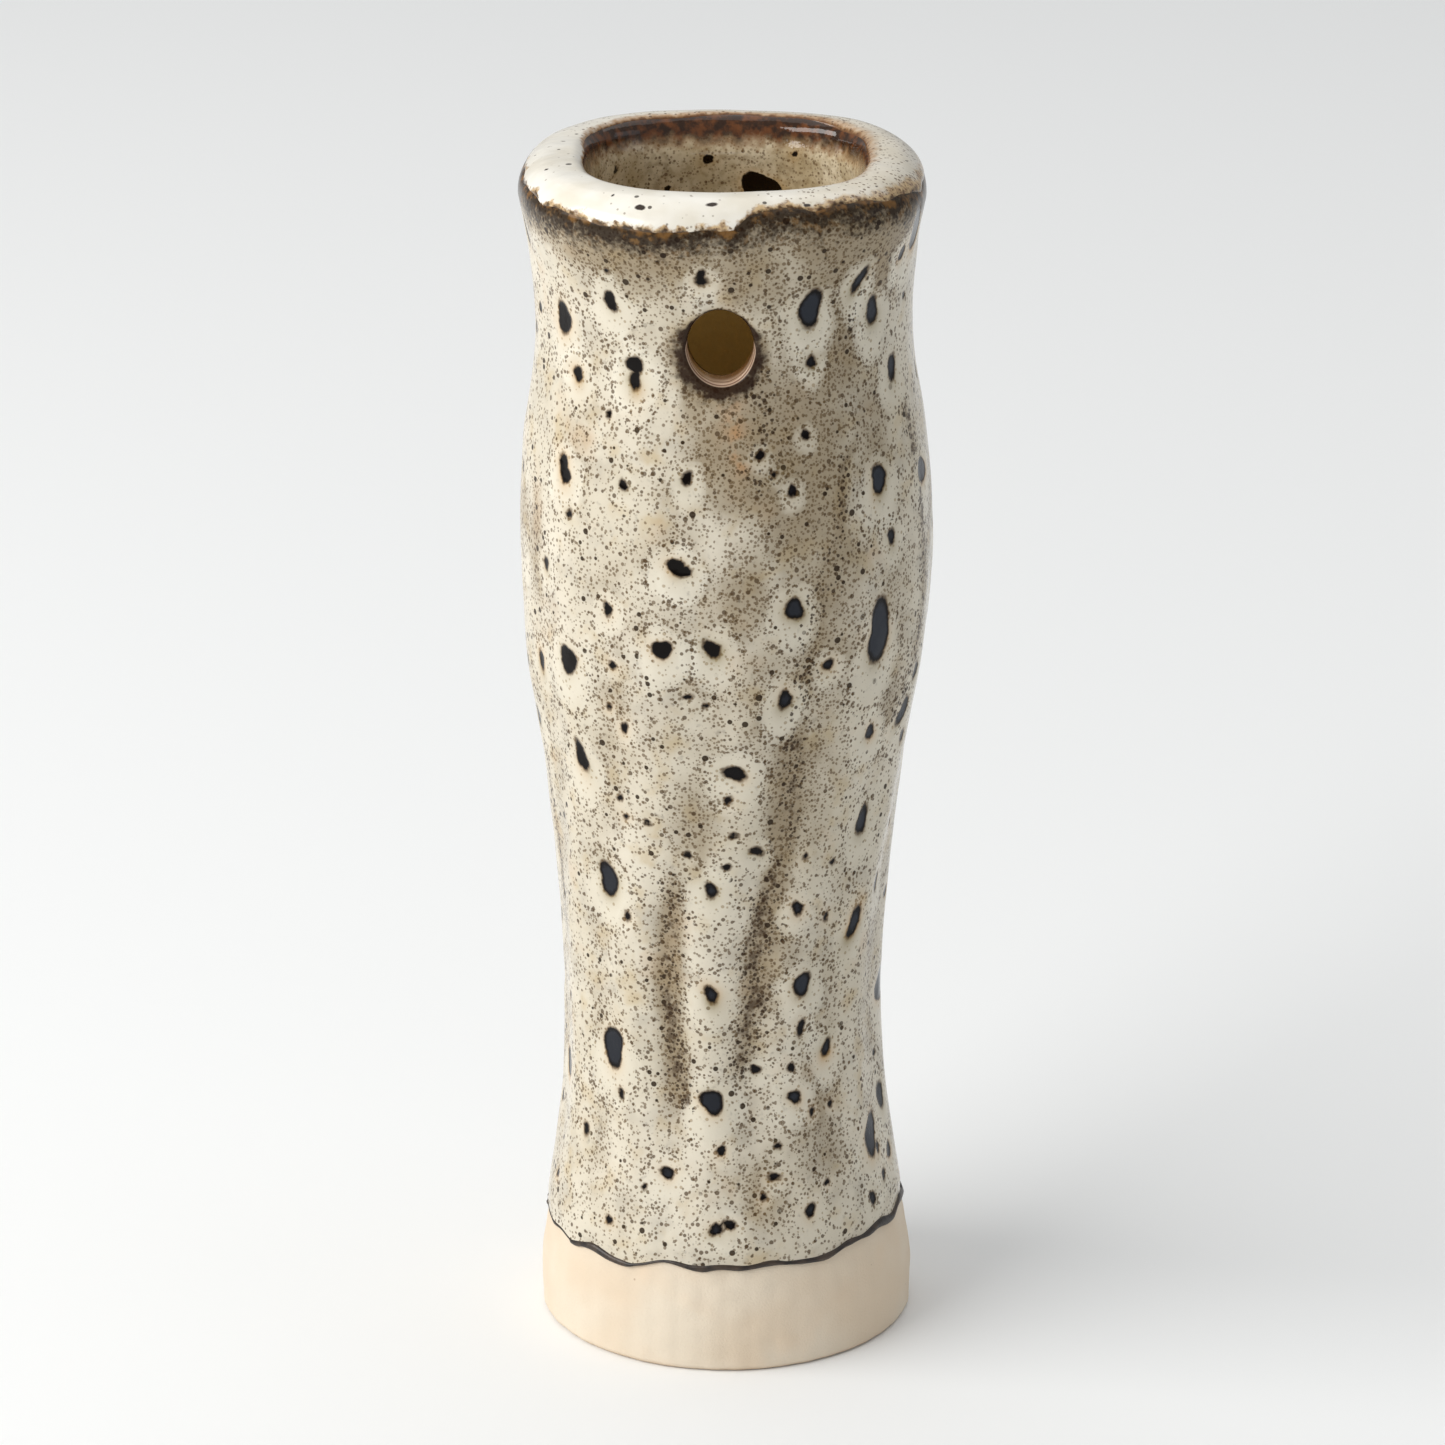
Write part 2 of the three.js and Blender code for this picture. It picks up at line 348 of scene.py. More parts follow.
# The larger spots on the front, listed one by one: angle in degrees, height, width, length, lean in
# degrees.
FRONT_SPOTS = (
    (-56.5, 168, 3, 4.9, -12),
    (-35, 173, 2.1, 2.7, 0),
    (-50.5, 160, 1.8, 2.1, 0),
    (-28, 163.4, 2.4, 2.6, 0),
    (-28, 161, 1.5, 3, 5),
    (-34, 178, 1, 0.9, 0),
    (-6, 177.8, 2.1, 1.2, 0),
    (-6, 178.8, 1.2, 1.6, 0),
    (26, 172.5, 3.3, 5.2, 0),
    (50, 170, 2.4, 4, 0),
    (42, 176, 1.6, 4, 25),
    (61, 178, 1.9, 2, 0),
    (27, 164, 1.3, 2, 0),
    (61, 160, 2, 3.4, 10),
    (-53, 145.6, 2, 3.2, -15),
    (-51.5, 144.2, 2.2, 2, -30),
    (-30, 145, 1.4, 1.6, -20),
    (-11, 147, 1.4, 2.1, 30),
    (-49.5, 138.5, 1.1, 1.5, 0),
    (-14, 133.3, 2.3, 2.4, 0),
    (-11.5, 132.6, 1.8, 1.7, 0),
    (-61, 129, 1.3, 2.1, -15),
    (-35, 125, 1.4, 2.1, -25),
    (-37, 155, 1.1, 1.1, 0),
    (10, 150.5, 1.4, 1.4, 0),
    (24, 153, 1.4, 1.4, 0),
    (19, 144.8, 1.4, 1.6, 20),
    (14, 147.5, 0.9, 1, 0),
    (49, 144, 3, 3.8, -10),
    (53, 134.5, 1.5, 2.2, 0),
    (19, 126.3, 2.6, 3.2, 0),
    (48, 119.8, 4.4, 8.6, 0),
    (-50.5, 115, 3.2, 4.5, -10),
    (-34, 116, 1.3, 1.3, 0),
    (-18, 120, 2.6, 2.9, 0),
    (-4, 120.5, 2, 3, -30),
    (30, 116.5, 1.7, 1.6, 20),
    (17, 111.7, 1.8, 3.2, 0),
    (-49, 99, 2, 4.8, -20),
    (-31, 106, 1.2, 1.6, 30),
    (-36, 109, 1.1, 1, 0),
    (-11, 112.4, 1.4, 0.9, 0),
    (-6, 111, 1, 1, 0),
    (49, 103, 2.1, 2.1, 0),
    (66, 104, 2.4, 3.8, 25),
    (3, 99.6, 3.2, 2.1, 10),
    (1, 95, 1.2, 1.3, 0),
    (-35, 93.6, 1.2, 1.1, 0),
    (-25, 90.4, 1.2, 1.1, 0),
    (-33, 90.6, 0.9, 0.8, 0),
    (3, 89, 1.4, 1, 15),
    (11, 86, 2, 1.3, 25),
    (-12, 85.4, 1.4, 1, 10),
    (1, 83.6, 1.2, 1.2, 0),
    (-42, 79, 3.4, 4.8, -22),
    (-4, 79.6, 1.7, 2.4, -35),
    (52, 87.6, 2.3, 3.9, 12),
    (28, 84.2, 1, 1, 0),
    (39, 82.3, 1, 1, 0),
    (26, 75.7, 1.6, 2, -10),
    (38, 73, 0.9, 1.3, 0),
    (52, 70.7, 2, 4.6, 24),
    (-34, 73.7, 1.1, 1.5, -20),
    (29, 62.5, 2.8, 3.3, 25),
    (-4, 62, 1.7, 2.7, -10),
    (29, 55.3, 1.2, 2.3, 5),
    (25, 48.8, 1.3, 1.3, 0),
    (-43, 50.7, 4.2, 5.4, -8),
    (-4, 44.1, 3.3, 3.4, 30),
    (26, 43.9, 2, 1.9, 0),
    (63, 33, 3.6, 6.2, 10),
    (-39, 43.3, 1.1, 1.5, -20),
    (-57, 35, 1.1, 2.1, 0),
    (-1, 36.2, 1.4, 1.4, 0),
    (-20, 31.8, 1.9, 1.9, 0),
    (-28, 29, 1, 1, 0),
    (17, 31.4, 1.8, 1.2, 10),
    (19, 36.3, 1.1, 1.1, 0),
    (41, 50.4, 1.4, 2.9, 20),
    (42, 41, 1, 1, 0),
    (33, 40.8, 1, 1.2, 0),
    (12, 48.9, 1.4, 1.4, 0),
    (29, 25.2, 1.5, 2.2, 10),
    (58, 23.3, 1.6, 2.1, 0),
    (-41, 22.3, 1.3, 1.3, 0),
    (-3, 23.6, 1.8, 1.8, 30),
    (1.4, 24.4, 1.7, 1.5, 20),
    (13, 28.4, 1.1, 1.1, 0),
    (37, 28.9, 1.1, 1.1, 0),
)
SPOT_SWELL = 1.14
FRONT_REACH = 66  # degrees to each side that the listed spots cover


def scattered_spots(count, low, high, seed):
    """Spots for the sides and the back, kept apart, as large as those on the front."""
    rng = np.random.default_rng(seed)
    spots = []
    while len(spots) < count:
        angle = rng.uniform(FRONT_REACH, 360 - FRONT_REACH)
        angle = angle - 360 if angle > 180 else angle
        height = rng.uniform(low, high)
        size = 1.0 + 3.4 * rng.random() ** 2.6
        apart = all(
            math.hypot((angle - a + 180) % 360 - 180, 2 * (height - h)) > 4 + 2.2 * (size + w)
            for a, h, w, _, _ in spots
        )
        if apart:
            spots.append((angle, height, size, size * rng.uniform(0.9, 1.9), rng.uniform(-28, 28)))
    return spots


def across(angle, spot_angle, radius):
    """Millimetres round the pot from a spot's middle."""
    turn = (angle - math.radians(spot_angle) + math.pi) % TAU - math.pi
    return turn * radius


def spot_fields(angle, way, radius, spots, seed):
    """What each point has from the spots round it.

    spot is the signed distance to the nearest spot's edge, halo the clear glaze round it, ring the
    edge of that, fringe the stain against the spot, and cool how much of the spot's middle is
    painted blue-grey, a painted reflection of the sky in its gloss.
    """
    rng = np.random.default_rng(seed)
    fields = {name: np.zeros(angle.shape) for name in ("halo", "ring", "fringe", "painted_sheen")}
    fields["spot"] = np.full(angle.shape, 9.0)

    def raise_to(name, near, values):
        fields[name][near] = np.maximum(fields[name][near], values)

    for spot_angle, height, width, length, lean in spots:
        x = across(angle, spot_angle, radius)
        z = way - height
        reach = 3 * max(width, length) + 4
        near = (np.abs(x) < reach) & (np.abs(z) < reach)
        x, z = x[near], z[near]
        width, length = SPOT_SWELL * width, SPOT_SWELL * length
        turn = math.radians(lean)
        along_x = x * math.cos(turn) - z * math.sin(turn)
        along_z = x * math.sin(turn) + z * math.cos(turn)
        phase = rng.uniform(0, TAU, 4)
        facing = np.arctan2(along_z, along_x)
        knobbly = 1 + 0.11 * np.cos(2 * facing + phase[0]) + 0.10 * np.cos(3 * facing + phase[1])
        size = np.hypot(along_x / (width / 2), along_z / (length / 2)) / knobbly
        fields["spot"][near] = np.minimum(fields["spot"][near], (size - 1) * min(width, length) / 2)

        big = smoothstep(1.1, 2.5, math.sqrt(width * length))
        spread = 0.9 + 2.2 * big
        drop = 0.45 * length
        from_middle = np.hypot(x / (width / 2 + spread), (z + drop) / (length / 2 + 1.2 * spread))
        wobble = 0.07 * np.cos(3 * facing + phase[2]) + 0.05 * np.cos(5 * facing + phase[3])
        from_middle = from_middle * (1 + wobble)
        raise_to("halo", near, (0.35 + 0.65 * big) * (1 - smoothstep(0.5, 1.08, from_middle)))
        raise_to("ring", near, (0.3 + 0.7 * big) * np.exp(-(((from_middle - 1.06) / 0.13) ** 2)))
        stain = rng.uniform(0.35, 1.0) * (0.45 + 0.55 * big) * (0.75 - 0.25 * np.sin(facing))
        raise_to("fringe", near, stain * np.exp(-np.maximum((size - 1) * width / 2, 0) / 0.7))
        # Painted reflection: big spots to the right, and low ones, get a blue-grey middle for the sky
        # mirrored in their gloss.
        painted_sheen = big * max(smoothstep(8, 45, abs(spot_angle + 12)) * (spot_angle > 0), 0.6 * (height < 85))
        raise_to("painted_sheen", near, painted_sheen * (size < 1.6))
    return fields


# Clouds of dense brown speckle: angle, height, half-width in degrees, half-height, strength.
FRONT_CLOUDS = (
    (4, 151, 17, 11, 1.3),
    (21, 149, 19, 19, 1.3),
    (33, 169, 17, 17, 1.3),
    (-9, 158, 5, 6, 1.0),
    (5, 129, 9, 9, 0.95),
    (-12, 125, 28, 14, 0.4),
    (-26, 168, 20, 9, 0.35),
    (-30, 106, 20, 12, 0.3),
    (47, 152, 10, 15, 0.75),
    (31, 127, 12, 17, 0.85),
    (-13, 141, 9, 9, 0.5),
    (11, 112, 10, 13, 0.6),
    (19, 98, 8, 20, 0.95),
    (31, 100, 8, 18, 0.55),
    (20, 69, 8, 17, 0.8),
    (-10, 91, 10, 9, 0.5),
    (-20, 66, 7, 15, 0.6),
    (-17, 47, 7, 8, 0.6),
    (34, 40, 16, 13, 0.6),
    (14, 28, 10, 6, 0.75),
    (-68, 131, 6, 9, 0.7),
    (-51, 148, 8, 7, 0.3),
    (-27, 178, 26, 5, 0.8),
    (44, 178, 30, 8, 1.3),
    (10, 177, 14, 6, 1.0),
    (56, 120, 9, 22, 0.45),
    (-3, 31, 12, 4, 0.4),
)
# Clouds for the sides and the back, and the limits of the same five values.
SIDE_CLOUDS = 20
SIDE_RANGES = ((FRONT_REACH + 8, 352 - FRONT_REACH), (24, 178), (8, 20), (7, 19), (0.35, 0.8))


def clouds(angle, way, radius):
    """How brown and densely speckled each point is."""
    rng = np.random.default_rng(8)
    others = [[rng.uniform(*limits) for limits in SIDE_RANGES] for _ in range(SIDE_CLOUDS)]
    total = np.zeros(angle.shape)
    for middle, height, wide, high, strength in (*FRONT_CLOUDS, *others):
        x = across(angle, middle, radius) / (math.radians(wide) * radius)
        z = (way - height) / high
        total = np.maximum(total, strength * (1 - smoothstep(0.35, 1.35, np.hypot(x, z))))
    return total + 0.3 * np.maximum(-flutes(angle, way), 0)


# Dark runs in the valleys and elsewhere: points of angle and height, then width and strength.
RUNS = (
    (((-17, 80), (-18, 72), (-20, 65), (-20, 58)), 1.9, 0.75),
    (((-20, 60), (-18, 52), (-16, 46), (-14, 44)), 1.6, 1.1),
    (((21, 104), (22, 92), (17, 81), (13, 75)), 2.0, 0.8),
    (((14, 77), (11, 68), (12, 61), (9, 55), (7, 50)), 2.1, 1.05),
    (((30, 134), (22, 118), (21, 104)), 2.2, 0.5),
    (((40, 150), (35, 147), (33, 137)), 0.9, 0.8),
    (((66, 153), (70, 140), (71, 125), (68, 112), (61, 104)), 1.5, 0.8),
    (((-76, 98), (-77, 86), (-76, 74), (-73, 66)), 0.9, 0.75),
    (((48, 179), (44, 173), (41, 169)), 1.0, 0.6),
    (((104, 96), (101, 84), (104, 70), (99, 58)), 1.2, 0.8),
    (((158, 150), (161, 140), (155, 128)), 0.9, 0.7),
    (((-142, 88), (-139, 74), (-145, 60), (-140, 50)), 1.3, 0.85),
    (((-104, 160), (-101, 150), (-105, 143)), 0.8, 0.6),
    (((11, 161), (12, 154), (11, 147)), 2.4, 0.5),
)
# One orange drip under the hole, given in the same way.
DRIPS = (
    (((2, 158), (3, 154)), 1.9, 0.65),
    (((3, 154), (4.5, 149)), 1.3, 1.0),
)


def streaks(angle, way, radius, paths):
    """How strongly each point is stained by the streaks laid along these paths."""
    total = np.zeros(angle.shape)
    for path, width, strength in paths:
        for (a, low), (b, high) in zip(path, path[1:]):
            x = across(angle, a, radius)
            z = way - low
            end_x = math.radians(b - a) * radius
            end_z = high - low
            along = np.clip((x * end_x + z * end_z) / (end_x**2 + end_z**2), 0, 1)
            gap = np.hypot(x - along * end_x, z - along * end_z)
            total = np.maximum(total, strength * np.exp(-((gap / width) ** 2)))
    return total


def scorch(x, z):
    """Brown round the hole: 1 at its edge, fading out beside and below it, with none above."""
    facing = np.arctan2(z, x)
    reach = 0.5 + 3.3 * smoothstep(0.9, -0.1, np.sin(facing)) * (1 - 0.22 * np.cos(facing - 0.5))
    return 1 - np.clip(from_bore(x, z) / reach, 0, 1)


def from_bore(x, z):
    """Millimetres out from the bore's wall."""
    facing = np.arctan2(z, x)
    edge = BORE / np.sqrt(np.cos(facing) ** 2 + (np.sin(facing) / BORE_STRETCH) ** 2)
    return np.hypot(x, z) - edge


# ---------- Shader helpers ----------


def tone(red, green, blue):
    """Linear colour from display values of 0 to 255."""
    channels = (c / 255 for c in (red, green, blue))
    linear = [c / 12.92 if c <= 0.04045 else ((c + 0.055) / 1.055) ** 2.4 for c in channels]
    return (*linear, 1.0)


DOT_SOFTNESS = 0.06  # of a speck's edge, in millimetres


class Value:
    """A node's output in a look. It can be added, subtracted and multiplied as a number can."""

    def __init__(self, look, socket):
        self.look = look
        self.socket = socket

    def __add__(self, other):
        return self.look.math("ADD", self, other)

    def __sub__(self, other):
        return self.look.math("SUBTRACT", self, other)

    def __mul__(self, other):
        return self.look.math("MULTIPLY", self, other)


class Look:
    """A node material, with the few node types that the looks below need."""

    def __init__(self, name, roughness=0.3, specular=0.5):
        self.material = bpy.data.materials.new(name)
        self.material.use_nodes = True
        self.tree = self.material.node_tree
        self.shader = self.tree.nodes["Principled BSDF"]
        self.shader.inputs["Roughness"].default_value = roughness
        self.shader.inputs["Specular IOR Level"].default_value = specular
        place = self.node("TexCoord")("Object")
        self.place = self.node("VectorMath", {0: place, "Scale": 1 / MM}, operation="SCALE")(0)
        self.body = None

    def put(self, socket, value):
        if isinstance(value, Value):
            self.tree.links.new(value.socket, socket)
        else:
            socket.default_value = value

    def node(self, kind, inputs=None, **settings):
        """Makes a node with these settings and inputs, and returns what gives each of its outputs."""
        node = self.tree.nodes.new("ShaderNode" + kind)
        for setting, value in settings.items():
            setattr(node, setting, value)
        for socket, value in (inputs or {}).items():
            self.put(node.inputs[socket], value)
        return lambda output: Value(self, node.outputs[output])

    def math(self, operation, a, b=0.0):
        return self.node("Math", {0: a, 1: b}, operation=operation)(0)

    def step(self, value, low, high):
        """0 at low to 1 at high, smoothly; low may be the larger."""
        inputs = {"Value": value, "From Min": low, "From Max": high}
        return self.node("MapRange", inputs, interpolation_type="SMOOTHSTEP")("Result")

    def mix(self, factor, a, b):
        return self.node("Mix", {"Factor": factor, 6: a, 7: b}, data_type="RGBA")(2)

    def field(self, name):
        return self.node("Attribute", attribute_name=name)("Fac")

    def moved(self, x, y, z):
        """The place in millimetres, moved so that patterns of the same size don't coincide."""
        return self.node("Mapping", {"Vector": self.place, "Location": (x, y, z)})(0)

    def noise(self, size, detail=2.0, shift=0.0):
        """Noise whose features are about size millimetres across."""
        inputs = {"Vector": self.moved(shift, 2 * shift, -shift), "Scale": 1 / size, "Detail": detail}
        return self.node("TexNoise", inputs)("Fac")

    def swing(self, size, detail=2.0, shift=0.0):
        """Noise that swings to either side of 0."""
        return self.noise(size, detail, shift) - 0.5

    def dots(self, spacing, small, large, amount, shift):
        """Round specks between two radii in millimetres; amount is the share of cells that have one."""
        place = self.moved(shift, -shift, 3 * shift)
        cells = self.node("TexVoronoi", {"Vector": place, "Scale": 1 / spacing})
        chance = self.node("SeparateColor", {0: cells("Color")})
        radius = chance(0) * ((large - small) / spacing) + small / spacing
        dot = self.step(cells("Distance") - radius, DOT_SOFTNESS / spacing, -DOT_SOFTNESS / spacing)
        there = self.step(self.math("SUBTRACT", amount, chance(1)), -0.02, 0.04)
        return dot * there

    def mottled(self, first, second, noise, low, high):
        """The first colour where the noise is below low, turning to the second above high."""
        return self.mix(self.step(noise, low, high), first, second)

    def lay(self, color, mask, share=1.0):
        """Lays a colour over the body where the mask is, hiding that share of what is below."""
        self.body = self.mix(mask * share, self.body, color)

    def bump(self, height, depth):
        """Relief of a height field, its depth in millimetres."""
        inputs = {"Height": height, "Distance": depth * MM, "Strength": 1.0}
        self.put(self.shader.inputs["Normal"], self.node("Bump", inputs)(0))

    def finish(self, roughness=None):
        self.put(self.shader.inputs["Base Color"], self.body)
        if roughness is not None:
            self.put(self.shader.inputs["Roughness"], roughness)
        return self.material


RUST = tone(106, 76, 40)
GOLD = tone(192, 150, 88)
OLIVE = tone(140, 122, 78)

# ---------- Materials ----------


def iron_density(look, clear, blotchy):
    """How densely the iron has come through: 0 in clean cream, 1 and more in a brown cloud."""
    near_lip = look.step(look.field("under") + blotchy * 4, 9.5, 2)
    dust = look.field("cloud") + look.swing(6, 4, 90) * 1.4 + near_lip * 1.3
    dust = dust + look.field("run") * 0.9 + look.field("burn") * 2 + 0.28
    return look.math("MINIMUM", look.math("MAXIMUM", dust, 0.0), 1.7) * clear


def lay_cream(look, dust, clear):
    """Cream that drifts to grey-beige and ochre, with tan blushes, and is paler round the spots."""
    halo = look.field("halo")
    look.body = look.mottled(tone(220, 212, 195), tone(208, 199, 180), look.noise(26, 3), 0.35, 0.65)
    grey = look.step(look.noise(6, 3, 97), 0.48, 0.72)
    look.lay(tone(184, 177, 163), grey * clear, 0.55)
    ochre = look.step(look.noise(4.4, 4, 95), 0.5, 0.75)
    look.lay(tone(188, 164, 118), ochre * clear, 0.5)
    look.lay(tone(200, 166, 128), look.step(look.noise(9, 3, 40), 0.58, 0.8), 0.45)
    look.lay(tone(136, 117, 86), look.step(dust, 0.1, 1.7), 0.72)
    drip = look.field("drip") * look.step(look.noise(1.9, 4, 230), 0.36, 0.6)
    look.lay(tone(186, 136, 88), drip, 0.6)
    look.lay(tone(220, 213, 196), halo, 0.68)
    look.lay(tone(234, 229, 214), look.step(halo, 0.02, 0.2) * look.field("ring"), 0.4)


def lay_specks(look, dust, clear):
    """Brown specks of six sizes, more of them where there is more iron."""

    def amount(from_dust, anywhere):
        return (dust * from_dust + anywhere) * clear

    fine = dust * 0.85 + clear * 0.22
    for spacing, small, large, share_of_cells, shift, share, color in (
        (0.8, 0.08, 0.3, look.field("halo") * 0.75, 91, 0.6, tone(146, 124, 90)),
        (0.55, 0.08, 0.27, fine, 5, 0.7, tone(100, 80, 52)),
        (0.78, 0.1, 0.34, amount(0.55, 0.3), 11, 0.72, tone(94, 73, 46)),
        (1.2, 0.13, 0.4, amount(0.25, 0.3), 23, 0.82, tone(76, 57, 36)),
        (2.0, 0.24, 0.55, amount(0.15, 0.24), 57, 0.95, tone(48, 35, 21)),
        (0.7, 0.12, 0.36, look.field("ring"), 71, 0.8, tone(80, 60, 37)),
    ):
        look.lay(color, look.dots(spacing, small, large, share_of_cells, shift), share)


def lay_stains(look, ragged, blotchy):
    """Stains against the spots, runs, the burnt ring at the hole and the broken band under the lip."""
    run, under = look.field("run"), look.field("under")
    look.lay(look.mottled(GOLD, OLIVE, look.noise(14, 1, 130), 0.4, 0.6), look.field("fringe"), 0.95)
    look.lay(tone(66, 47, 30), look.step(run + ragged * 2.6, 0.62, 1.35), 0.75)
    look.lay(tone(52, 36, 22), look.dots(0.62, 0.16, 0.34, run * 0.9, 83), 0.85)
    look.lay(tone(38, 19, 7), look.step(look.field("burn") + ragged * 1.4, 0.15, 0.7), 0.95)
    broken = look.swing(0.7, 3, 210) * 6 + blotchy * 5
    band_tone = look.mottled(tone(30, 15, 5), RUST, look.noise(1.5, 4, 200), 0.53, 0.7)
    look.lay(band_tone, look.step(under + broken, 5.2, 1.0), 0.92)
    near_lip = look.step(under + ragged * 3.0, 1.1, 0.1)
    patchy = look.step(look.noise(2.6, 3, 220), 0.46, 0.62)
    look.lay(tone(140, 100, 54), near_lip * patchy, 0.6)


def lay_rolled_edge(look):
    """Where the glaze rolls over into the hole it is pinkish cream behind a thin dark line."""
    from_wall = look.field("from_bore")
    look.lay(tone(204, 176, 152), look.step(from_wall, 0.42, 0.2))
    line = look.step(look.math("ABSOLUTE", from_wall - 0.14), 0.12, 0.04)
    look.lay(tone(82, 48, 28), line, 0.75)


def ragged_spots(look, raggedness):
    """Signed distance to the nearest spot's edge, roughened."""
    return look.field("spot") + look.swing(0.9) * raggedness


def lay_spots(look):
    """Iron spots with a brown edge, some of them with a painted blue-grey reflection in the middle.
    Returns their mask.
    """
    spot = ragged_spots(look, 0.55)
    look.lay(tone(84, 60, 34), look.step(spot, 0.34, 0.0), 0.7)
    eye = look.step(spot, 0.1, -0.2)
    # Painted reflection: the blue-grey middle stands for the sky mirrored in the glossy spots.
    middle = look.step(spot, -0.2, -0.75) * look.field("painted_sheen")
    look.lay(look.mix(middle, tone(10, 5, 3), tone(46, 50, 58)), eye)
    return eye


def speckled_glaze():
    look = Look("speckled_glaze", specular=0.12)
    ragged = look.swing(1.5, 4, 160)
    blotchy = look.swing(3.2, 3, 140)
    clear = look.field("halo") * -0.9 + 1.0
    dust = iron_density(look, clear, blotchy)
    lay_cream(look, dust, clear)
    lay_specks(look, dust, clear)
    lay_stains(look, ragged, blotchy)
    lay_rolled_edge(look)
    eye = lay_spots(look)
    look.bump(look.noise(2.4, 2, 300) * 0.7 + look.noise(0.5, 2, 310) * 0.12 - eye * 0.5, 0.12)
    return look.finish(look.noise(3, 3, 320) * 0.12 - eye * 0.08 + 0.12)


def lip_glaze():
    look = Look("lip_glaze", roughness=0.16, specular=0.4)
    edge = look.field("edge")
    inner = look.field("inner_edge")
    stained = look.field("stained")
    ragged = look.swing(1.3, 4, 20)
    blotchy = look.swing(3.0, 3, 26)
    look.body = look.mottled(tone(238, 234, 224), tone(224, 217, 201), look.noise(9, 3), 0.35, 0.7)
    look.lay(tone(214, 200, 172), stained, 0.45)
    reach = stained * 2.1 + 0.9
    gold = look.step(edge + ragged * 2.4 + blotchy * 2.6, reach, reach * 0.4)
    gold_tone = look.mottled(tone(200, 168, 118), tone(136, 98, 54), look.noise(0.8, 3, 86), 0.4, 0.66)
    look.lay(gold_tone, gold, 0.88)
    dark = look.step(edge + ragged * 2.6, stained * 0.5 + 0.6, 0.0)
    dark_tone = look.mottled(tone(46, 26, 10), RUST, look.noise(1.4, 4, 82), 0.46, 0.64)
    look.lay(dark_tone, dark, 0.92)
    look.lay(tone(158, 114, 60), look.step(inner + ragged * 2.0, stained * 1.9 + 0.7, 0.1), 0.9)
    look.lay(tone(92, 52, 22), look.step(inner + ragged * 1.2, stained * 0.9, 0.0), 0.85)
    speckle = look.dots(0.6, 0.1, 0.28, (stained + gold * 0.8) * 0.6, 61)
    look.lay(tone(92, 64, 36), speckle, 0.8)
    look.lay(tone(60, 50, 38), look.dots(2.3, 0.2, 0.5, 0.2, 33), 0.9)
    look.lay(tone(120, 106, 84), look.dots(1.0, 0.08, 0.24, 0.2, 44), 0.6)
    look.lay(tone(44, 30, 18), look.step(look.field("spot"), 0.1, -0.1))
    look.bump(look.noise(3, 2, 50), 0.1)
    return look.finish()


def liner_glaze():
    look = Look("liner_glaze", roughness=0.06, specular=0.45)
    depth = look.field("depth")
    look.body = look.mottled(tone(216, 202, 174), tone(184, 166, 132), look.noise(7, 3), 0.35, 0.7)
    look.lay(tone(132, 110, 76), look.step(look.noise(1.2, 4, 15), 0.42, 0.7), 0.5)
    look.lay(tone(96, 72, 44), look.dots(0.5, 0.08, 0.24, 0.75, 9), 0.6)
    look.lay(tone(80, 52, 26), look.dots(0.8, 0.1, 0.3, 0.5, 19), 0.7)
    look.lay(tone(206, 176, 108), look.step(depth, 11, 24), 0.94)
    ragged = look.swing(1.6, 4, 60)
    look.lay(tone(144, 104, 54), look.step(depth + ragged * 4.4, 5.0, 3.0), 0.6)
    burnt_tone = look.mottled(tone(38, 15, 4), tone(104, 58, 24), look.noise(1.6, 4, 64), 0.42, 0.68)
    look.lay(burnt_tone, look.step(depth + ragged * 3.4, 4.2, 1.7), 0.96)
    look.lay(tone(184, 138, 64), look.field("fringe"), 0.8)
    look.lay(tone(14, 7, 5), look.step(ragged_spots(look, 0.4), 0.12, -0.12))
    look.bump(look.noise(2.4, 3, 70), 0.1)
    return look.finish()


def bore_glaze():
    look = Look("bore_glaze", roughness=0.2)
    depth = look.field("depth")
    look.body = look.mix(look.noise(2, 3), tone(206, 178, 154), tone(172, 140, 114))
    ragged = look.swing(1.2, 3, 8)
    line = look.step(look.math("ABSOLUTE", depth - 1.0 + ragged), 0.35, 0.05)
    look.lay(tone(96, 58, 34), line, 0.7)
    look.lay(tone(120, 82, 50), look.step(depth, 1.4, 3.4))
    look.bump(look.noise(1.5, 2, 12), 0.08)
    return look.finish()


def bare_clay():
    look = Look("bare_clay", roughness=0.75, specular=0.3)
    look.body = look.mottled(tone(227, 214, 194), tone(222, 204, 180), look.noise(16, 2), 0.35, 0.7)
    grain = look.noise(0.35, 2, 5)
    look.lay(tone(204, 176, 142), look.step(grain, 0.5, 0.8), 0.1)
    look.lay(tone(228, 196, 162), look.step(look.noise(9, 2, 25), 0.5, 0.8), 0.2)
    foot = look.step(look.field("rise") + look.noise(3, 2, 35) * 0.6, 1.2, 0.3)
    look.lay(tone(176, 140, 102), foot, 0.4)
    look.lay(tone(150, 116, 84), look.dots(2.6, 0.08, 0.22, 0.14, 45), 0.5)
    look.bump(grain, 0.05)
    return look.finish()


def iron_line():
    look = Look("iron_line", roughness=0.4)
    look.body = look.mottled(tone(30, 22, 17), tone(66, 52, 40), look.noise(2.4, 3), 0.35, 0.7)
    look.bump(look.noise(0.8, 3, 9), 0.08)
    return look.finish()


# ---------- Pieces ----------

COLUMNS = 300
ROW_STEP = 0.7
PATCH_MARGIN = 1.6  # the round patch reaches at least this far past the hole's rolled edge


def hole_window(angles, heights):
    """First and last column, first and last row of the grid block that the hole's patch replaces."""
    radius = clay_radius(np.array(HOLE_HEIGHT)) + COAT
    wide = BORE + BORE_FILLET + PATCH_MARGIN
    tall = BORE * BORE_STRETCH + BORE_FILLET + PATCH_MARGIN
    columns = np.flatnonzero(np.abs(angles * radius - HOLE_ASIDE) < wide)
    rows = np.flatnonzero(np.abs(heights - HOLE_HEIGHT) < tall)
    return columns[0], columns[-1], rows[0], rows[-1]


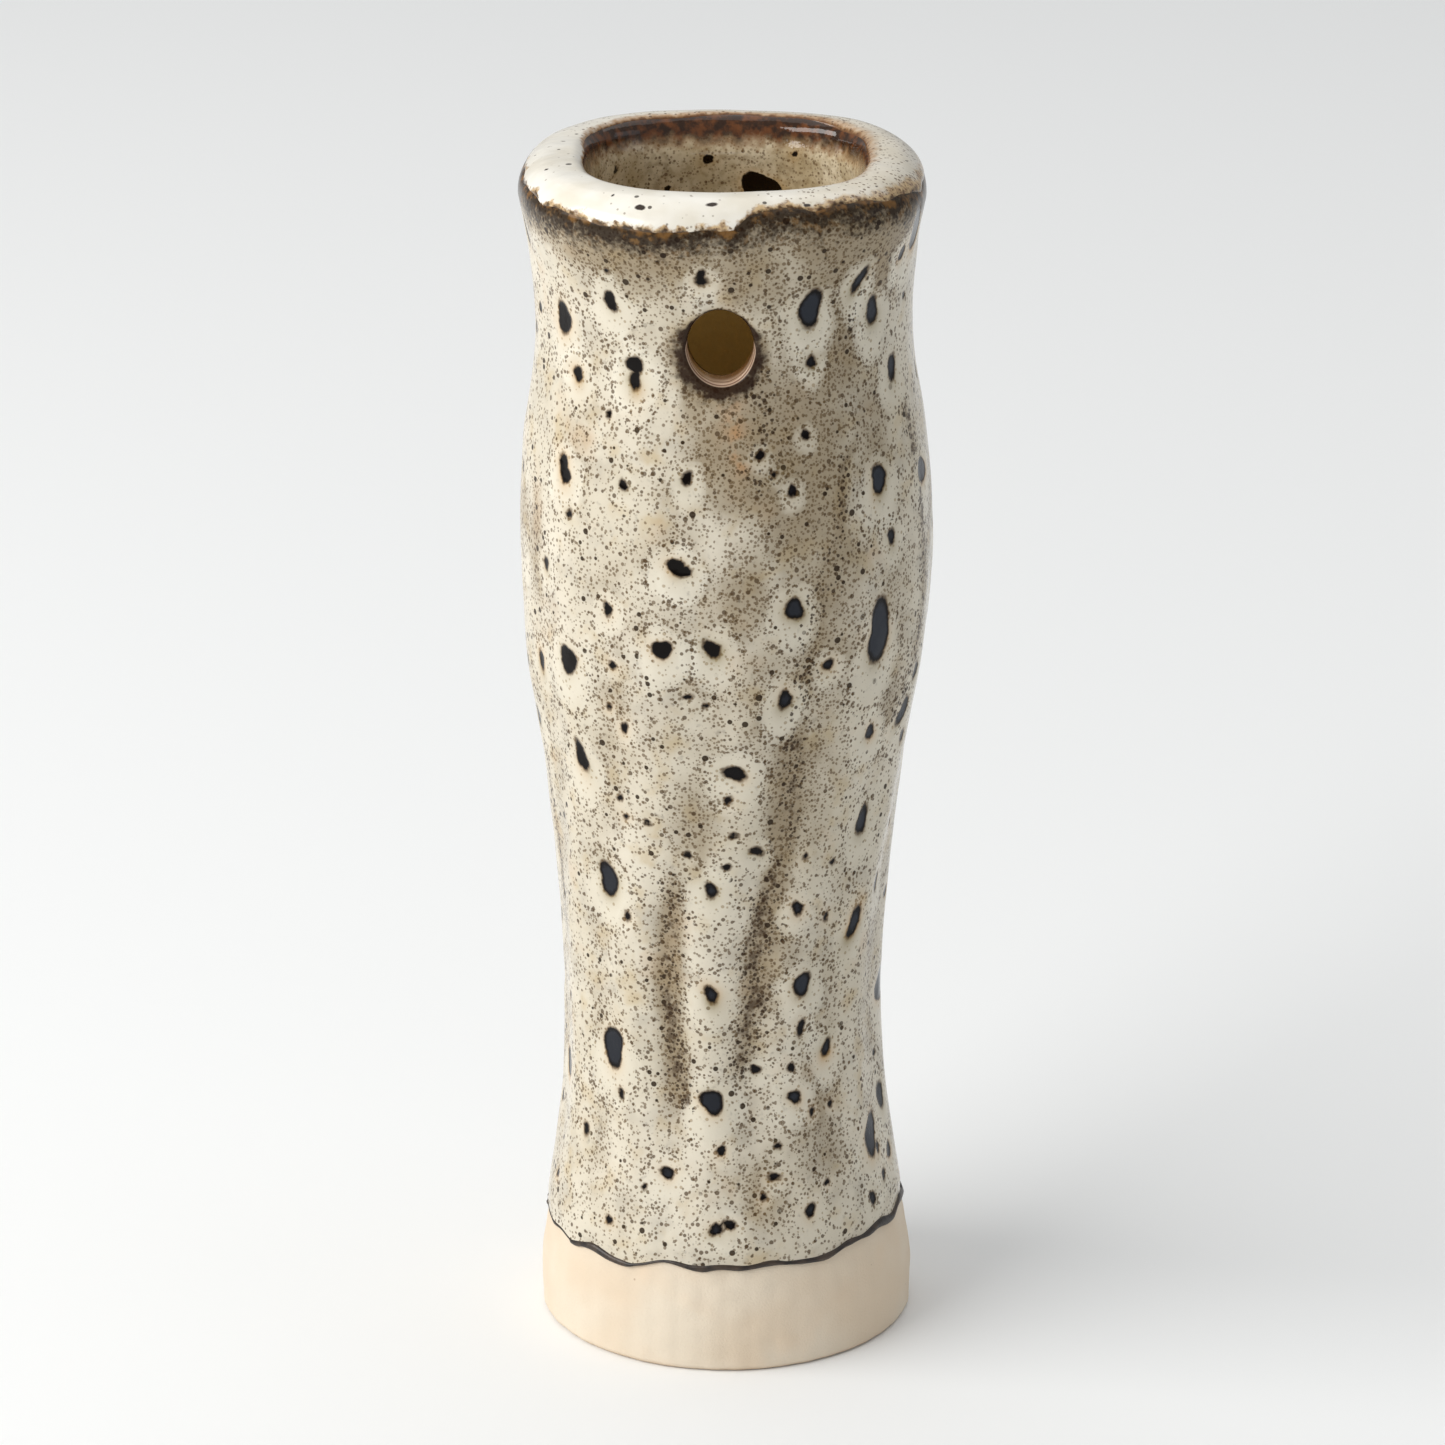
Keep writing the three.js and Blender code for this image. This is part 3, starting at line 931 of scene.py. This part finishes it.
def window_loop(left, right, low, high, count):
    """Vertex numbers round the block's edge, in order."""
    loop = [low * count + c for c in range(left, right)]
    loop += [r * count + right for r in range(low, high)]
    loop += [high * count + c for c in range(right, left, -1)]
    loop += [r * count + left for r in range(high, low, -1)]
    return np.array(loop)


def coat_at(x, z, outside):
    """Points on the face of a coat in front, x and z millimetres from the middle of the hole."""
    height = HOLE_HEIGHT + z
    radius = clay_radius(height) + COAT if outside else inside_radius(height) - COAT
    return stand(radius, height, np.arcsin(np.clip((x + HOLE_ASIDE) / radius, -1, 1)), outside)


def holed_grid(points, angles, heights, outside, rings):
    """A grid of rings with a round opening at the hole, and the numbers of the points it keeps.

    rings are (radius, inward) pairs that carry the opening's edge down into the wall.
    """
    count = len(angles)
    left, right, low, high = hole_window(angles, heights)
    cut = np.zeros((len(heights) - 1, count), dtype=bool)
    cut[low:high, left:right] = True
    loop = window_loop(left, right, low, high, count)
    radius = np.hypot(points[loop, 0] - sway(HOLE_HEIGHT), points[loop, 1])
    edge_x = radius * angles[loop % count] - HOLE_ASIDE
    edge_z = points[loop, 2] - HOLE_HEIGHT
    turn = np.arctan2(edge_z, edge_x)
    circle_x, circle_z = np.cos(turn), BORE_STRETCH * np.sin(turn)
    widest = rings[0][0]
    made = []
    for share in (0.3, 0.6, 0.85):
        x = edge_x + (widest * circle_x - edge_x) * share
        z = edge_z + (widest * circle_z - edge_z) * share
        made.append(coat_at(x, z, outside))
    for ring_radius, inward in rings:
        ring = coat_at(ring_radius * circle_x, ring_radius * circle_z, outside)
        ring[:, 1] += inward
        made.append(ring)
    first = len(points)
    patch = grid_faces(len(made) + 1, len(loop), first=first - len(loop))
    patch = np.where(patch < first, loop[(patch - first + len(loop)) % len(loop)], patch)
    quads = np.concatenate([grid_faces(len(heights), count)[~cut.ravel()], patch])
    kept = np.unique(quads)
    return np.concatenate([points, *made])[kept], np.searchsorted(kept, quads), kept


def fillet(radius, size, inward, steps=5):
    """(radius, inward) rings that roll from the coat's face into the bore."""
    turn = np.linspace(0, math.pi / 2, steps)
    return [(radius + size * (1 - math.sin(t)), inward * size * (1 - math.cos(t))) for t in turn]


def ring_angles(count):
    """Angles from the back, round by the left to the right, so that no seam crosses the hole."""
    return (np.arange(count) + 0.5) / count * TAU - math.pi


def turned(points):
    """Each point's angle and distance from the pot's swaying middle line."""
    x = points[:, 0] - sway(points[:, 2])
    return np.arctan2(x, -points[:, 1]), np.hypot(x, points[:, 1])


HEM_FADE = 22  # the hem's wave has died out this far up the wall
THIN_AT_HEM = 0.35  # how much thinner the outer coat is there, in millimetres
THIN_AT_LIP = 0.3
SPOT_SINK = 0.14


def outer_coat():
    """The speckled glaze outside, from its wavy hem up to where the lip's glaze covers it."""
    rows, way = outer_rows(ROW_STEP)
    angles = ring_angles(COLUMNS)
    turn, along = np.meshgrid(angles, way)
    clay_r = rows[:, :1] + 0 * turn
    heights = rows[:, 1:] + 0 * turn
    moved = (hem_height(turn) - HEM) * (1 - smoothstep(HEM, HEM + HEM_FADE, heights))
    clay_r = clay_r + clay_radius(heights + moved) - clay_radius(heights)
    heights = heights + moved

    spots = [*FRONT_SPOTS, *scattered_spots(count=135, low=21, high=181, seed=5)]
    sunk = smoothstep(0.7, -0.5, spot_fields(turn, heights, clay_r + COAT, spots, 17)["spot"])
    place = stand(clay_r, heights, turn)
    coat = COAT - THIN_AT_LIP * smoothstep(-0.3, 1.0, along - lip_edge(turn))
    coat = coat - THIN_AT_HEM * np.exp(-np.maximum(along - HEM, 0) / 0.5) - SPOT_SINK * sunk
    coat = coat + 0.05 * ripple(place, 9, 3) + 0.1 * ripple(place, 34, 4)
    normal = row_normals(rows)
    points = stand(clay_r + normal[:, :1] * coat, heights + normal[:, 1:] * coat, turn).reshape(-1, 3)
    points, quads, kept = holed_grid(points, angles, rows[:, 1], True, fillet(BORE, BORE_FILLET, 1))

    # Fields are read again from the finished points, so that the patch round the hole has them too.
    turn, far = turned(points)
    height = points[:, 2]
    along = np.concatenate([along.ravel()[kept[kept < along.size]], height[kept >= along.size]])
    in_front = points[:, 1] < 0
    beside, above = far * turn - HOLE_ASIDE, height - HOLE_HEIGHT
    fields = {
        **spot_fields(turn, height, far, spots, 17),
        "cloud": clouds(turn, height, far),
        "run": streaks(turn, height, far, RUNS),
        "drip": streaks(turn, height, far, DRIPS),
        "under": lip_edge(turn) - along,
        "burn": scorch(beside, above) * in_front,
        "from_bore": np.where(in_front, from_bore(beside, above) + smoothstep(-1, 4, above), 9),
    }
    make_mesh("outer_coat", points, quads, "outer_glaze", speckled_glaze(), fields)


# Dark flecks on the lip: angle, millimetres outside the crest, width, length, lean.
LIP_SPOTS = (
    (-23, 4.6, 1.2, 0.9, 0),
    (-3, 3.6, 1.6, 0.7, 0),
    (-33, 3.0, 0.5, 0.6, 0),
    (24, 4.4, 0.8, 0.6, 0),
    (-70, 3.0, 0.7, 0.6, 0),
    (112, 3.4, 0.8, 0.8, 0),
    (-142, 2.6, 0.9, 0.8, 0),
)


def lip_rows():
    """Clay face over the lip, from low on the shoulder to a little way down inside.

    Also the way along it, and where on it the inner corner starts.
    """
    heights = np.arange(SHOULDER - 3, SHOULDER, 0.5)
    outside = face_rows(clay_radius, heights)
    shoulder = shoulder_arc(28)
    corner = arc((CREST_RADIUS, CORNER_START), (INNER_CORNER, INNER_CORNER), 1, 2, 12)[1:]
    down = np.arange(CORNER_START - 0.5, RIM_COAT_LOW - 1, -0.5)
    inside = face_rows(inside_radius, down)
    rows = np.concatenate([outside, shoulder, corner, inside])
    way = way_along(rows)
    way = way - way[len(outside)] + SHOULDER
    return rows, way, way[len(outside) + len(shoulder) - 1]


def lip_stain(angle):
    """How far the brown has crept over the white lip: most at the back and on the right."""
    back = smoothstep(-0.75, 0.75, -np.cos(angle + 0.9)) * (0.75 + 0.25 * np.cos(3 * angle))
    right = 0.95 * np.exp(-(((angle - 1.05) / 0.6) ** 2))
    return np.maximum(back, right)


LIP_ROLL = 0.9  # width of the lip glaze's rolled edge, in millimetres
LIP_STEPS = 56


def rim_coat():
    """The thick white glaze over the lip, its edge wandering down the shoulder."""
    rows, way, crest = lip_rows()
    angles = ring_angles(COLUMNS)
    share = np.linspace(0, 1, LIP_STEPS)[:, None]
    start = lip_edge(angles)[None, :]
    behind = smoothstep(0.2, 1, -np.cos(angles))
    wave = 0.25 * np.cos(5 * angles + 1) + 0.15 * np.cos(11 * angles)
    end = (crest + 1.7 - 0.9 * behind + wave)[None, :]
    along = start + (end - start) * (0.5 - 0.5 * np.cos(math.pi * share))

    def at_way(column):
        return np.interp(along.ravel(), way, column).reshape(along.shape)

    face_r, face_z = (at_way(column) for column in rows.T)
    out_r, out_z = (at_way(column) for column in row_normals(rows).T)
    turn = np.broadcast_to(angles, along.shape)
    from_edge = np.clip(np.minimum(along - start, end - along) / LIP_ROLL, 0, 1)
    swell = np.sqrt(from_edge * (2 - from_edge))
    place = stand(face_r, face_z, turn)
    coat = COAT - 0.32 + 0.34 * swell + 0.05 * ripple(place, 12, 6) * swell
    top = stand(face_r + out_r * coat, face_z + out_z * coat, turn)
    thin = COAT - 0.5
    under = stand(face_r + out_r * thin, face_z + out_z * thin, turn)[::-4]
    points = np.concatenate([top, under]).reshape(-1, 3)
    quads = grid_faces(LIP_STEPS + len(under), COLUMNS, closed=True)
    blank = np.full(under.shape[:2], 9.0)
    specks = spot_fields(turn, crest - along, face_r, LIP_SPOTS, 41)
    fields = {
        "edge": np.concatenate([along - start, blank]),
        "inner_edge": np.concatenate([end - along, blank]),
        "stained": np.concatenate([lip_stain(turn), blank * 0]),
        "spot": np.concatenate([specks["spot"], blank]),
    }
    make_mesh("rim_coat", points, quads, "rim_glaze", lip_glaze(), fields)


# Spots on the liner: angle, height, width, length, lean.
INNER_SPOTS = (
    (-174, 183.2, 1.5, 1.6, 0),
    (-133, 183.0, 1.0, 1.3, 0),
    (164.5, 178.2, 5.4, 5.2, 0),
    (150, 184.5, 0.9, 1.0, 0),
    (-158, 178.5, 1.1, 1.2, 0),
    (140, 170, 2.0, 2.6, 10),
    (-120, 168, 2.2, 3.0, 0),
    (90, 176, 1.6, 2.2, 0),
    (-60, 172, 1.8, 2.0, 0),
    (60, 160, 2.4, 3.0, 0),
)


def inner_rows():
    """Clay face from the middle of the floor up the inside and over the inner corner."""
    low = FLOOR + FLOOR_CURVE
    heights = np.concatenate([np.arange(CORNER_START - 0.7, 150, -0.8), np.linspace(149, low, 34)])
    corner = arc((CREST_RADIUS, CORNER_START), (INNER_CORNER, INNER_CORNER), 1, 2, 8)
    wall_rows = face_rows(inside_radius, heights)
    reach = inside_radius(np.array(float(low))) - FLOOR_CURVE
    curve = arc((reach, low), (FLOOR_CURVE, FLOOR_CURVE), 4, 3, 9)[1:]
    flat = np.stack([np.linspace(reach, 0.4, 8)[1:], np.full(7, FLOOR)], axis=-1)
    return np.concatenate([corner, wall_rows, curve, flat])[::-1]


INNER_BEAD = 1.0  # the liner is this much thicker just under the lip
INNER_FILLET = 1.0


def inner_coat():
    """The liner, from under the lip glaze down to the floor."""
    rows = inner_rows()
    normals = np.abs(row_normals(rows))
    angles = ring_angles(240)
    turn = np.broadcast_to(angles, (len(rows), len(angles)))
    clay_r, clay_z = rows[:, :1], rows[:, 1:]
    down = CORNER_START - clay_z
    coat = COAT - 0.2 * smoothstep(CORNER_START - 1, CLAY_CREST, clay_z)
    coat = coat + INNER_BEAD * smoothstep(0, 3.6, down) * smoothstep(26, 5, down)
    upright = (clay_z >= FLOOR + FLOOR_CURVE) & (clay_z <= CORNER_START)
    radius = np.maximum(clay_r - normals[:, :1] * coat, 0.05) + 0 * turn
    heights = clay_z + np.where(upright, 0, normals[:, 1:] * coat) + 0 * turn
    points = stand(radius, heights, turn, outside=False).reshape(-1, 3)
    points, quads, _ = holed_grid(points, angles, rows[:, 1], False, fillet(BORE, INNER_FILLET, -1))
    turn, far = turned(points)
    height = points[:, 2]
    fields = {**spot_fields(turn, height, far, INNER_SPOTS, 29), "depth": CLAY_CREST - height}
    make_mesh(
        "inner_coat", points, quads[:, ::-1], "inner_glaze", liner_glaze(), fields
    )


def bore_coat():
    """The glaze sleeve between the two rolled edges of the hole."""
    columns, steps = 96, 16
    turn = np.arange(columns) / columns * TAU
    circle_x, circle_z = np.cos(turn), BORE_STRETCH * np.sin(turn)
    front = coat_at(BORE * circle_x, BORE * circle_z, True)[:, 1] + 0.92 * BORE_FILLET
    back = coat_at(BORE * circle_x, BORE * circle_z, False)[:, 1] - 0.95 * INNER_FILLET
    run = (back - front) * np.linspace(0, 1, steps)[:, None]
    rings = []
    for radius in (BORE + 0.02, BORE + 0.5):
        x = HOLE_X + radius * circle_x + 0 * run
        z = HOLE_HEIGHT + radius * circle_z + 0 * run
        rings.append(np.stack([x, front + run, z], axis=-1))
    points = np.concatenate([rings[0], rings[1][::-1]]).reshape(-1, 3)
    quads = grid_faces(2 * steps, columns, closed=True)
    fields = {"depth": np.concatenate([run, run[::-1]])}
    make_mesh("bore_coat", points, quads, "hole_glaze", bore_glaze(), fields)


FOOT_EASE = 1.0  # radius of the foot's rounded lower edge
FOOT_FACETS = 46
FACET_DEPTH = 0.07


def wall():
    """The clay wall: a trimmed, faintly faceted foot below the glaze, plain where it is covered."""
    foot = arc((-FOOT_EASE, FOOT_EASE), (FOOT_EASE, FOOT_EASE), -1, 0, 6)
    foot_rows = np.stack([clay_radius(foot[:, 1]) + foot[:, 0], foot[:, 1]], axis=-1)
    shown = np.arange(1.5, 24, 0.6)
    rising = np.concatenate([shown, np.linspace(26, LIP_SEAM - GAP, 40)])
    falling = np.linspace(LIP_SEAM - GAP, FLOOR, 30)
    outside = face_rows(clay_radius, rising)
    inside = face_rows(inside_radius, falling)
    underside = [(clay_radius(np.array(0.0)) - WALL, 0.0)]
    rows = np.concatenate([foot_rows, outside, inside, underside])
    angles = ring_angles(368)
    turn = np.broadcast_to(angles, (len(rows), len(angles)))
    radius = rows[:, :1] + 0 * turn
    heights = rows[:, 1:] + 0 * turn
    on_foot = (np.arange(len(rows)) < len(foot_rows) + len(shown))[:, None]
    flats = FACET_DEPTH * np.abs(np.sin(FOOT_FACETS / 2 * turn + 0.35 * np.sin(3 * turn))) - 0.05
    radius = radius + on_foot * (flats + 0.05 * ripple(stand(radius, heights, turn), 5, 12))
    points = stand(radius, heights, turn)
    first_inside = len(foot_rows) + len(outside)
    points[first_inside:] = stand(radius, heights, turn, outside=False)[first_inside:]
    points = points.reshape(-1, 3)
    quads = grid_faces(len(rows), len(angles), closed=True)
    fields = {"rise": np.broadcast_to(rows[:, 1:], turn.shape)}
    drill(make_mesh("clay_wall", points, quads, "body_wall", frame_clay, fields))


def drill(piece):
    """Cuts the hole, a little wide, through a piece that the glaze hides there."""
    columns, radius = 64, BORE + 0.6
    turn = np.arange(columns) / columns * TAU
    x = radius * np.cos(turn) + HOLE_X
    z = HOLE_HEIGHT + radius * BORE_STRETCH * np.sin(turn)
    ends = [np.stack([x, 0 * x + y, z], axis=-1) for y in (-CREST_RADIUS - 15, -10)]
    caps = [list(range(columns)), list(range(2 * columns - 1, columns - 1, -1))]
    sides = grid_faces(2, columns)[:, ::-1].tolist()
    mesh = bpy.data.meshes.new("drill")
    mesh.from_pydata((np.concatenate(ends) * MM).tolist(), [], sides + caps)
    cutter = add_object("drill", mesh)
    cut = piece.modifiers.new("hole", "BOOLEAN")
    cut.operation = "DIFFERENCE"
    cut.object = cutter
    bpy.context.view_layer.objects.active = piece
    bpy.ops.object.modifier_apply(modifier=cut.name)
    bpy.data.objects.remove(cutter)


def edge_line():
    """The dark bead along the hem, thick in some places and nearly gone in others."""
    angles = ring_angles(600)
    section = np.arange(10) / 10 * TAU
    turn, around = np.meshgrid(angles, section)
    ring = stand(30 + 0 * angles, 0 * angles, angles)
    swell = 0.46 + 0.24 * ripple(ring, 15, 21) + 0.13 * ripple(ring, 5, 22)
    swell = np.clip(swell, 0.24, 0.9)
    height = hem_height(turn) - 0.18 + swell * np.sin(around) * 0.95
    radius = clay_radius(height) + 0.18 + 0.42 * np.cos(around) * np.clip(swell / 0.35, 0.5, 1.1)
    points = stand(radius, height, turn).reshape(-1, 3)
    quads = grid_faces(len(section), len(angles), closed=True)
    make_mesh("edge_line", points, quads, "glaze_edge", iron_line())


# ---------- Studio ----------


def floor():
    half = 30 * HEIGHT * MM
    corners = [(-half, -half, 0), (half, -half, 0), (half, half, 0), (-half, half, 0)]
    mesh = bpy.data.meshes.new("floor")
    mesh.from_pydata(corners, [], [(0, 1, 2, 3)])
    look = Look("floor", roughness=0.7)
    look.body = tone(244, 245, 245)
    mesh.materials.append(look.finish())
    add_object("floor", mesh)


def softbox(name, place, size, power, color=(1, 1, 1)):
    """A rectangular light, aimed at the middle of the vase."""
    light = bpy.data.lights.new(name, "AREA")
    light.shape = "RECTANGLE"
    light.size, light.size_y = size
    light.energy = power
    light.color = color
    lamp = add_object(name, light)
    lamp.location = place
    aim = Vector((0, 0, HEIGHT * MM / 2)) - lamp.location
    lamp.rotation_euler = aim.to_track_quat("-Z", "Y").to_euler()


def studio():
    """A window's light from the left, a weak one from the right, one above, and an even room."""
    softbox("window", (-1.25, -0.55, 0.95), (1.8, 0.7), 26, (1.0, 0.985, 0.96))
    softbox("far_window", (1.5, -0.3, 0.7), (1.2, 0.5), 1.0, (0.86, 0.9, 1.0))
    softbox("top", (0.1, 0.6, 1.8), (2.6, 2.0), 12.5)
    world = bpy.data.worlds.new("studio")
    world.use_nodes = True
    background = world.node_tree.nodes["Background"]
    background.inputs["Color"].default_value = (0.975, 0.99, 1.0, 1)
    background.inputs["Strength"].default_value = 0.37
    bpy.context.scene.world = world


def camera():
    """A long lens, looking down on the vase."""
    lens = bpy.data.cameras.new("camera")
    lens.sensor_width = 36
    lens.lens = 165.2
    view = add_object("camera", lens)
    tall = HEIGHT * MM
    view.location = (-0.0033 * tall, -5.166 * tall, 2.311 * tall)
    view.rotation_euler = (math.radians(90 - 19.17), 0, 0)
    bpy.context.scene.camera = view
    bpy.context.scene.view_settings.view_transform = "Standard"


camera()
studio()
floor()

frame_clay = bare_clay()
for node in ("base_slab", "rim_coil"):
    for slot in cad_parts[node].material_slots:
        slot.material = frame_clay

wall()
outer_coat()
rim_coat()
inner_coat()
bore_coat()
edge_line()
